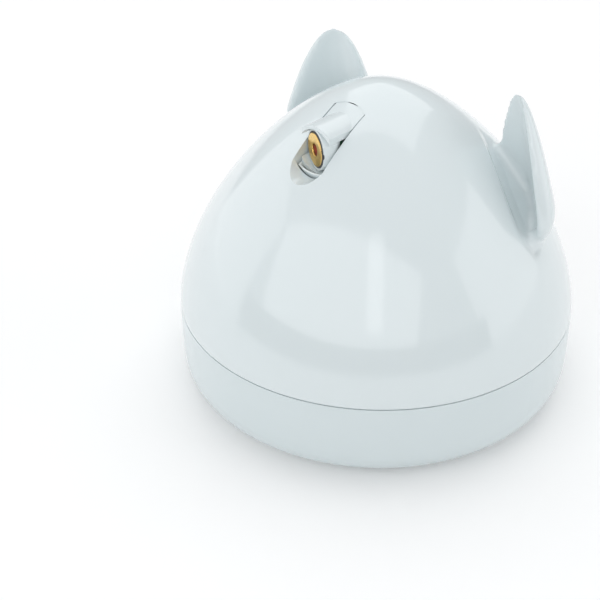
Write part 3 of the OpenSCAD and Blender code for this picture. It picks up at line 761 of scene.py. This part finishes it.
    def build_crown(self, finishes: Finishes, dome: "Dome") -> None:
        """Build the back of the barrel, which lies flush in the dome.

        Args:
            finishes: The finishes.
            dome: The dome that it is flush with.
        """
        wheel = rod(self.sweep_rear - self.crown_gap, -self.half_width, self.half_width, 128)
        piece = mesh_from(placed(wheel, self.across()), "barrel_crown")
        combine(piece, dome.solid(self.crown_cover, dome.seam, 96, 256), Cut.KEEP)
        bore = rod(self.barrel_r - self.crown_sink, -20 * MM, 30 * MM, 128)
        combine(piece, placed(bore, self.ahead()), Cut.TAKE)
        bm = taken(piece)
        bmesh.ops.holes_fill(bm, edges=sliced(bm, self.pivot, (0, 0, -1)))
        clean(bm)
        bevel_sharp(bm, self.crown_bevel, 40)
        finish_piece(mesh_from(bm, "barrel_crown"), finishes["barrel_white"], "barrel")

    def build_apron(self, finishes: Finishes) -> None:
        """Build the apron that closes the slot under the front of the barrel.

        Args:
            finishes: The finishes.
        """
        outer, half = self.sweep_front - self.apron_gap, self.half_width - self.apron_side
        skin, root, steps = self.apron_skin, self.apron_root, 8
        places = [half * (i / steps - 1) for i in range(2 * steps + 1)]
        outside = [(math.sqrt(outer ** 2 - x * x), x) for x in places]
        within = [(math.sqrt((outer - skin) ** 2 - x * x), x) for x in places[1:-1]]
        band = (outside + [(root, half), (root, half - skin)] + within[::-1]
                + [(root, skin - half), (root, -half)])
        bm = placed(spun(band, 192, closed=True), self.across())
        for below, side in ((self.apron_top, 1), (self.apron_foot, -1)):
            a = math.radians(below)
            away = (0, -side * math.sin(a), side * math.cos(a))
            bmesh.ops.holes_fill(bm, edges=sliced(bm, self.pivot, away))
        clean(bm)
        finish_piece(mesh_from(bm, "barrel_apron"), finishes["barrel_white"], "barrel")

    def build(self, finishes: Finishes, dome: "Dome") -> None:
        """Build the laser and dress its mechanism.

        Args:
            finishes: The finishes.
            dome: The dome that the barrel lies in.
        """
        self.build_apron(finishes)
        self.build_module(finishes)
        self.build_window(finishes)
        # Painted shade ring round the collar, in place of its shadowed gap.
        self.build_gap_shade(finishes)
        for node in ("laser_barrel", "laser_ball"):
            dress(node, finishes["barrel_white"])
        dress("laser_driver", finishes["board_green"])
        self.build_crown(finishes, dome)


@dataclass(frozen=True)
class PostRow:
    """A row of hollow posts of one size, in metres.

    Attributes:
        places: Places (across, along) of the posts.
        outer: Outer radius.
        bore: Radius of the screw hole.
        low: Height of the foot.
        high: Height of the head, which ends inside the wall.
    """
    places: tuple[Pair, ...]
    outer: float
    bore: float
    low: float
    high: float

    def build(self, base: Matrix) -> list[BMesh]:
        """Build the posts.

        Args:
            base: The place of the row.

        Returns:
            One closed solid for each post.
        """
        return [placed(tube(self.outer, self.bore, self.low, self.high, 32),
                       base @ Matrix.Translation((x, y, 0))) for x, y in self.places]


@dataclass
class Dome:
    """Sizes of the upper shell and its ears, in metres and degrees.

    The height and the places of the ear tips are measured from the seam.
    """
    radius: float = 60 * MM
    height: float = 68.5 * MM
    seam: float = 27.2 * MM
    seam_gap: float = 0.4 * MM
    wall: float = 2.4 * MM
    power_r: float = 1.72
    power_z: float = 1.28
    bulge: float = 0.042
    ear_tip: Triple = (34.1 * MM, 17.2 * MM, 69.9 * MM)
    ear_len: float = 30.8 * MM
    ear_foot: float = 14 * MM
    ear_w: float = 15.4 * MM
    ear_d: float = 6.8 * MM
    ear_toe: float = 30.5
    ear_lean: float = -2.6
    ear_pitch: float = -7.6
    ear_cup: float = 2.0
    ear_lip: float = 1.6
    scoop_depth: float = 1.9 * MM
    scoop_half: float = 14 * MM
    scoop_reach: float = 8 * MM
    scoop_low: float = 1.4
    scoop_ease: float = 1.5 * MM
    voxel: float = 0.80 * MM
    blend: float = 1.7 * MM
    spare: float = 3 * MM
    slot_play: float = 0.04 * MM
    button_z: float = 19 * MM
    button_y: float = 54.6 * MM
    button_tilt: float = 24.0
    button_hole: float = 6.2 * MM
    sleeve_bore: float = 6.25 * MM
    sleeve_r: float = 7.6 * MM
    sleeve_low: float = -7 * MM
    sleeve_high: float = 3 * MM
    case_posts: PostRow = PostRow(
        tuple((x * MM, y * MM) for x, y in ((32, 27), (-32, 27), (32, -27), (-32, -27))),
        3.6 * MM, 1.4 * MM, 0.0, 60 * MM)
    frame_posts: PostRow = PostRow(
        tuple((x * MM, y * MM) for x, y in ((17, -26), (-17, -26), (16, 25), (-16, 25))),
        3.6 * MM, 1.4 * MM, 0.0, 40 * MM)
    frame_post_z: float = 36 * MM
    board_posts: PostRow = PostRow(((-15 * MM, 0), (15 * MM, 0)),
                                   2.8 * MM, 1.4 * MM, -14 * MM, 5 * MM)

    def outline(self, inset: float, count: int) -> list[Pair]:
        """Return the outline of the dome from its top to its foot.

        Args:
            inset: How far it lies inside the outer face.
            count: Number of steps.

        Returns:
            Points (radius, height), the height from the floor.
        """
        def at(angle: float) -> Vector:
            """Return the point of the outer face at an angle from the top."""
            z = self.height * math.cos(angle) ** (2 / self.power_z)
            r = self.radius * math.sin(angle) ** (2 / self.power_r)
            return Vector((r * (1 + self.bulge * math.sin(math.pi * z / self.height)), z))
        points = []
        step = 1e-4
        for i in range(count + 1):
            angle = math.pi / 2 * i / count
            near, far = max(angle - step, 0.0), min(angle + step, math.pi / 2)
            along = (at(far) - at(near)).normalized()
            point = at(angle) + inset * Vector((along.y, -along.x))
            points.append((max(point.x, 0.0), point.y + self.seam))
        points[0] = (0.0, points[0][1])
        return points

    def solid(self, inset: float, foot: float, count: int, steps: int) -> BMesh:
        """Build the dome as a closed solid.

        Args:
            inset: How far its face lies inside the outer face.
            foot: Height of its flat underside.
            count: Steps of the outline.
            steps: Steps of the turn.

        Returns:
            The closed solid.
        """
        points = self.outline(inset, count)
        return spun(points + [(points[-1][0], foot), (0.0, foot)], steps)

    def ear_matrix(self, side: int) -> Matrix:
        """Return the place of an ear: side is 1 for the object's left, -1 for its right."""
        x, y, z = self.ear_tip
        turn = (Matrix.Translation((x, y, z + self.seam))
                @ Matrix.Rotation(-math.radians(self.ear_toe), 4, "Z")
                @ Matrix.Rotation(math.radians(self.ear_lean), 4, "Y")
                @ Matrix.Rotation(-math.radians(self.ear_pitch), 4, "X"))
        return turn if side > 0 else Matrix.Scale(-1, 4, (1, 0, 0)) @ turn

    def ear(self, side: int) -> BMesh:
        """Build an ear as a cupped leaf that hangs from its tip.

        Args:
            side: 1 for the object's left, -1 for its right.

        Returns:
            The closed solid.
        """
        rings, feet, sides, last = 40, 10, 72, 0.98
        bm = bmesh.new()
        start = bmesh.ops.create_circle(bm, cap_ends=True, segments=sides, radius=self.ear_w)
        ring = start["verts"]
        feet_sizes = [(math.sqrt(1 - (last * i / feet) ** 2),
                       self.ear_len + self.ear_foot * last * i / feet)
                      for i in range(feet, 0, -1)]
        leaf_sizes = [(i / rings, (i / rings) ** 2 * self.ear_len) for i in range(rings, 0, -1)]

        def rim() -> list[BMEdge]:
            """Return the edges round the last ring."""
            return [bm.edges.get((ring[i], ring[(i + 1) % sides])) for i in range(sides)]

        def shape(loop: list[BMVert], share: float, depth: float) -> None:
            """Move a ring to the ear's section, scaled by share, that far below its tip."""
            w, d = self.ear_w * share, self.ear_d * share
            for i, vert in enumerate(loop):
                f = math.sin(2 * math.pi * i / sides)
                y = -d * f if f < 0 else -d * (self.ear_lip * f - self.ear_cup * f * f)
                vert.co = (w * math.cos(2 * math.pi * i / sides), y, -depth)
        shape(ring, *feet_sizes[0])
        for share, depth in feet_sizes[1:] + leaf_sizes:
            grown = bmesh.ops.extrude_edge_only(bm, edges=rim())["geom"]
            fresh = {v for v in grown if isinstance(v, BMVert)}
            ring = [next(e.other_vert(vert) for e in vert.link_edges
                         if e.other_vert(vert) in fresh) for vert in ring]
            shape(ring, share, depth)
        bmesh.ops.contextual_create(bm, geom=rim())
        tip = bmesh.ops.poke(bm, faces=[f for f in bm.faces if set(ring) == set(f.verts)])
        for vert in tip["verts"]:
            vert.co = (0, 0, 0)
        placed(bm, self.ear_matrix(side))
        bmesh.ops.recalc_face_normals(bm, faces=bm.faces[:])
        return bm

    def skin(self) -> Object:
        """Build the outer form: the dome with its ears blended into it.

        Returns:
            The closed solid, from just below the seam up.
        """
        dome = self.solid(0.0, self.seam - self.spare, 120, 320)
        ears = joined([self.ear(1), self.ear(-1)])
        dome_tree, ear_tree = BVHTree.FromBMesh(dome), BVHTree.FromBMesh(ears)
        body = mesh_from(joined([dome, ears]), "dome_skin")
        remesh = body.modifiers.new("remesh", "REMESH")
        remesh.mode = "VOXEL"
        remesh.voxel_size = self.voxel
        settle(body)
        bm = taken(body)
        reach = self.blend
        crease, leaf, share = [], [], {}
        for vert in bm.verts:
            on_dome, _, _, to_dome = dome_tree.find_nearest(vert.co)
            _, _, _, to_ear = ear_tree.find_nearest(vert.co)
            share[vert] = max(1 - to_dome / reach, 0)
            if to_ear < reach and to_dome < reach:
                crease.append(vert)
            elif to_ear < to_dome:
                leaf.append(vert)
            elif vert.co.z > self.seam - 1 * MM:
                vert.co = on_dome
        self.scoop(bm, share)
        for soft, rounds in ((crease + leaf, 6), (crease, 8)):
            for _ in range(rounds):
                bmesh.ops.smooth_vert(bm, verts=soft, factor=0.5, use_axis_x=True,
                                      use_axis_y=True, use_axis_z=True)
        return mesh_from(bm, "dome_skin")

    def scoop(self, bm: BMesh, share: dict[BMVert, float]) -> None:
        """Sink the dome in front of each ear, so that the cup of the ear runs into it.

        Args:
            bm: The outer form.
            share: How much each point belongs to the dome, from 0 to 1.
        """
        bm.normal_update()
        for side in (1, -1):
            back = self.ear_matrix(side).inverted()
            for vert in bm.verts:
                place = back @ vert.co
                across = 1 - (place.x / self.scoop_half) ** 2
                ahead = min(max((place.y + self.scoop_reach) / (0.4 * self.scoop_reach), 0), 1)
                behind = min(max((1 - place.y / self.scoop_ease) / 2, 0), 1)
                if across > 0 and -self.ear_len * self.scoop_low < place.z < 0:
                    ease = ahead * ahead * (3 - 2 * ahead) * behind * share[vert]
                    vert.co -= vert.normal * self.scoop_depth * across * ease

    def at_button(self) -> Matrix:
        """Return the place of the button, with its axis on Z."""
        return (Matrix.Translation((0, self.button_y, self.seam + self.button_z))
                @ Matrix.Rotation(math.radians(self.button_tilt - 90), 4, "X"))

    def bosses(self) -> Object:
        """Build the screw bosses and the sleeve of the button inside the dome.

        Returns:
            The bosses, cut to end inside the wall.
        """
        base = Matrix.Translation((0, 0, self.seam))
        parts = (self.case_posts.build(base)
                 + self.frame_posts.build(base @ Matrix.Translation((0, 0, self.frame_post_z)))
                 + self.board_posts.build(self.at_button()))
        parts.append(placed(tube(self.sleeve_r, self.sleeve_bore, self.sleeve_low,
                                 self.sleeve_high, 64), self.at_button()))
        inside = mesh_from(joined(parts), "dome_bosses")
        depth = self.wall / 2 + 0.1 * MM
        combine(inside, self.solid(depth, self.seam - 1 * MM, 60, 128), Cut.KEEP)
        return inside

    def build(self, finishes: Finishes, laser: Laser) -> None:
        """Build the upper shell.

        Args:
            finishes: The finishes.
            laser: The laser, whose slot goes through the dome.
        """
        shell = self.skin()
        combine(shell, self.solid(self.wall, self.seam - 5 * MM, 72, 192), Cut.TAKE)
        bm = taken(shell)
        rim = sliced(bm, (0, 0, self.seam + self.seam_gap / 2), (0, 0, -1))
        bmesh.ops.bridge_loops(bm, edges=rim)
        shell = mesh_from(bm, "dome_skin")
        combine(shell, laser.slot_space(), Cut.TAKE)
        hole = rod(self.button_hole, -12 * MM, 12 * MM, 96)
        combine(shell, placed(hole, self.at_button()), Cut.TAKE)
        walls = mesh_from(laser.trough(laser.slot_half + laser.trough_wall,
                                       laser.trough_depth + laser.trough_wall,
                                       laser.boss_clear), "trough_walls")
        combine(walls, self.solid(self.wall / 2, self.seam, 60, 128), Cut.KEEP)
        combine(walls, laser.slot_space(self.slot_play), Cut.TAKE)
        whole = joined(taken(part) for part in (shell, walls, self.bosses()))
        finish_piece(mesh_from(whole, "dome_shell"), finishes["dome_white"], "case",
                     ["top_shell"], 42)


class Dressed:
    """A sub-assembly whose pieces are only dressed; groups holds the nodes of each finish."""
    groups: dict[str, tuple[str, ...]] = {}

    def build(self, finishes: Finishes) -> None:
        """Dress the pieces.

        Args:
            finishes: The finishes.
        """
        for finish, nodes in self.groups.items():
            for node in nodes:
                dress(node, finishes[finish])


class Underside(Dressed):
    """The base, its door, feet and cells."""
    groups = {
        "base_white": ("base_shell", "battery_door"),
        "rubber_black": ("rubber_feet",),
        "cell_wrap": ("batteries",),
        "steel": ("battery_contacts", "case_screws", "door_screw"),
    }


class Controls(Dressed):
    """The power button, its switch and the circuit board."""
    groups = {
        "button_grey": ("power_button",),
        "board_green": ("circuit_board",),
        "switch_black": ("tact_switch", "switch_plunger"),
        "steel": ("board_screws",),
    }


class Mechanism(Dressed):
    """The frame, the motors and the gears that move the laser."""
    groups = {
        "frame_grey": ("frame_left", "frame_right", "gear_cover"),
        "gear_ivory": ("first_gear", "second_gear", "tilt_sector", "pan_sector"),
        "steel": ("frame_screws", "mount_screws", "motor_shaft", "gear_axles"),
        "motor_steel": ("tilt_motor", "pan_motor"),
        "brass": ("motor_pinion", "pan_pinion"),
        "bush_tan": ("trunnion_bushes",),
    }


# ---- studio ----

@dataclass(frozen=True)
class Softbox:
    """A softbox that faces the object.

    Attributes:
        name: Name of the lamp.
        azimuth: Direction in degrees, from the front towards the object's left.
        elevation: Height above the horizon in degrees.
        distance: Distance from the object in metres.
        size: Width and height in metres.
        radiance: Brightness of its face, where 1 shows as white.
    """
    name: str
    azimuth: float
    elevation: float
    distance: float
    size: Pair
    radiance: float

    def hang(self, aim: Vector) -> None:
        """Hang the softbox.

        Args:
            aim: The point that it faces.
        """
        lamp = bpy.data.lights.new(self.name, "AREA")
        lamp.shape = "RECTANGLE"
        lamp.size, lamp.size_y = self.size
        lamp.energy = self.radiance * math.pi * self.size[0] * self.size[1]
        a, e = math.radians(self.azimuth), math.radians(self.elevation)
        toward = Vector((math.sin(a) * math.cos(e), -math.cos(a) * math.cos(e), math.sin(e)))
        obj = bpy.data.objects.new(self.name, lamp)
        obj.location = aim + toward * self.distance
        obj.rotation_euler = toward.to_track_quat("Z", "Y").to_euler()
        bpy.context.scene.collection.objects.link(obj)


@dataclass
class Studio:
    """Floor, light and camera, in metres; the screen is the low one behind the camera."""
    eye: Triple = (0.20501, -0.23221, 0.23254)
    back: Triple = (0.5923, -0.5773, 0.5621)
    up: Triple = (-0.3936, 0.4014, 0.8270)
    lens: float = 71.78
    sensor: float = 36.0
    floor_r: float = 4.0
    floor_shade: float = 0.93
    floor_glow: float = 0.08
    screen_r: float = 0.60
    screen_h: float = 0.13
    screen_start: float = -35.0
    screen_turn: float = 140.0
    screen_shade: float = 0.05
    world_level: float = 0.50
    aim: Triple = (0.0, 0.0, 0.05)
    softboxes: tuple[Softbox, ...] = (
        Softbox("window", 20, 26, 1.1, (2.2, 0.9), 1.12),
        Softbox("streak", 42, 32, 1.0, (0.16, 0.62), 1.2),
        Softbox("overhead", 215, 62, 1.4, (1.6, 1.6), 1.1),
        Softbox("fill_left", -66, 15, 1.2, (1.2, 0.9), 0.72),
        Softbox("fill_right", 128, 14, 1.2, (1.2, 0.9), 1.0),
    )

    def camera(self) -> None:
        """Set up the camera at the photograph's viewing angle."""
        data = bpy.data.cameras.new("camera")
        data.lens = self.lens
        data.sensor_width = self.sensor
        data.clip_end = 20.0
        data.clip_start = 0.01
        back = Vector(self.back).normalized()
        right = Vector(self.up).cross(back).normalized()
        up = back.cross(right)
        obj = bpy.data.objects.new("camera", data)
        obj.matrix_world = Matrix.Translation(self.eye) @ Matrix(
            (right, up, back)).transposed().to_4x4()
        bpy.context.scene.collection.objects.link(obj)
        bpy.context.scene.camera = obj

    def white_seen(self, sheet: Sheet, lit: NodeSocket,
                   level: float) -> NodeSocket:
        """Add a plain glow that only the eye and reflections see.

        Args:
            sheet: The sheet of the material.
            lit: Output of the shader that the lamps light.
            level: Strength of the glow.

        Returns:
            The output of the sum.
        """
        path = sheet.node("ShaderNodeLightPath").outputs
        first = sheet.node("ShaderNodeMath", operation="MAXIMUM",
                           _0=path["Is Camera Ray"], _1=path["Is Glossy Ray"])
        second = sheet.node("ShaderNodeMath", operation="MAXIMUM",
                            _0=first.outputs[0], _1=path["Is Transmission Ray"])
        power = sheet.node("ShaderNodeMath", operation="MULTIPLY",
                           _0=second.outputs[0], _1=level)
        glow = sheet.node("ShaderNodeEmission", Color=(1, 1, 1, 1), Strength=power.outputs[0])
        return sheet.node("ShaderNodeAddShader", _0=lit, _1=glow.outputs[0]).outputs[0]

    def cover(self, obj: Object, name: str, shade: float, glow: float) -> None:
        """Give a piece of the studio a matt grey finish.

        Args:
            obj: The piece.
            name: Name of the material.
            shade: Its brightness.
            glow: Strength of the glow that only the eye and reflections see.
        """
        material, sheet = new_material(name)
        seen = sheet.node("ShaderNodeBsdfDiffuse", Color=(shade, shade, shade, 1)).outputs[0]
        if glow:
            seen = self.white_seen(sheet, seen, glow)
        sheet.node("ShaderNodeOutputMaterial", Surface=seen)
        obj.data.materials.append(material)

    def floor(self) -> None:
        """Lay the pale floor, which keeps the object's shadow."""
        bm = bmesh.new()
        bmesh.ops.create_circle(bm, cap_ends=True, segments=64, radius=self.floor_r)
        obj = mesh_from(bm, "floor")
        self.cover(obj, "floor_white", self.floor_shade, self.floor_glow)

    def screen(self) -> None:
        """Stand a low grey screen behind the camera, which darkens the foot of the dome."""
        bm = bmesh.new()
        start = math.radians(self.screen_start - 90)
        x, y = self.screen_r * math.cos(start), self.screen_r * math.sin(start)
        foot, head = bm.verts.new((x, y, 0)), bm.verts.new((x, y, self.screen_h))
        edge = bm.edges.new((foot, head))
        bmesh.ops.spin(bm, geom=[foot, head, edge], cent=(0, 0, 0), axis=(0, 0, 1),
                       angle=math.radians(self.screen_turn), steps=48, use_duplicate=False)
        obj = mesh_from(bm, "flag")
        self.cover(obj, "flag_grey", self.screen_shade, 0.0)

    def world(self) -> None:
        """Light the room plainly and show it white."""
        world = bpy.data.worlds.new("room")
        bpy.context.scene.world = world
        world.use_nodes = True
        sheet = Sheet(world.node_tree)
        path = sheet.node("ShaderNodeLightPath")
        room = sheet.node("ShaderNodeBackground", Color=(0.97, 0.985, 1.0, 1),
                          Strength=self.world_level)
        seen = sheet.node("ShaderNodeBackground", Color=(1, 1, 1, 1))
        mix = sheet.node("ShaderNodeMixShader", _0=path.outputs["Is Camera Ray"],
                         _1=room.outputs[0], _2=seen.outputs[0])
        sheet.node("ShaderNodeOutputWorld", Surface=mix.outputs[0])

    def build(self) -> None:
        """Set up the whole studio."""
        self.camera()
        self.floor()
        self.world()
        self.screen()
        for softbox in self.softboxes:
            softbox.hang(Vector(self.aim))
        bpy.context.scene.view_settings.view_transform = "Standard"


def main() -> None:
    """Build the studio and every sub-assembly in order."""
    logging.basicConfig(level=logging.INFO, format="%(name)s: %(message)s")
    finishes, laser, dome = Finishes(), Laser(), Dome()
    Studio().build()
    dome.build(finishes, laser)
    laser.build(finishes, dome)
    Underside().build(finishes)
    Controls().build(finishes)
    Mechanism().build(finishes)


if __name__ == "__main__":
    main()
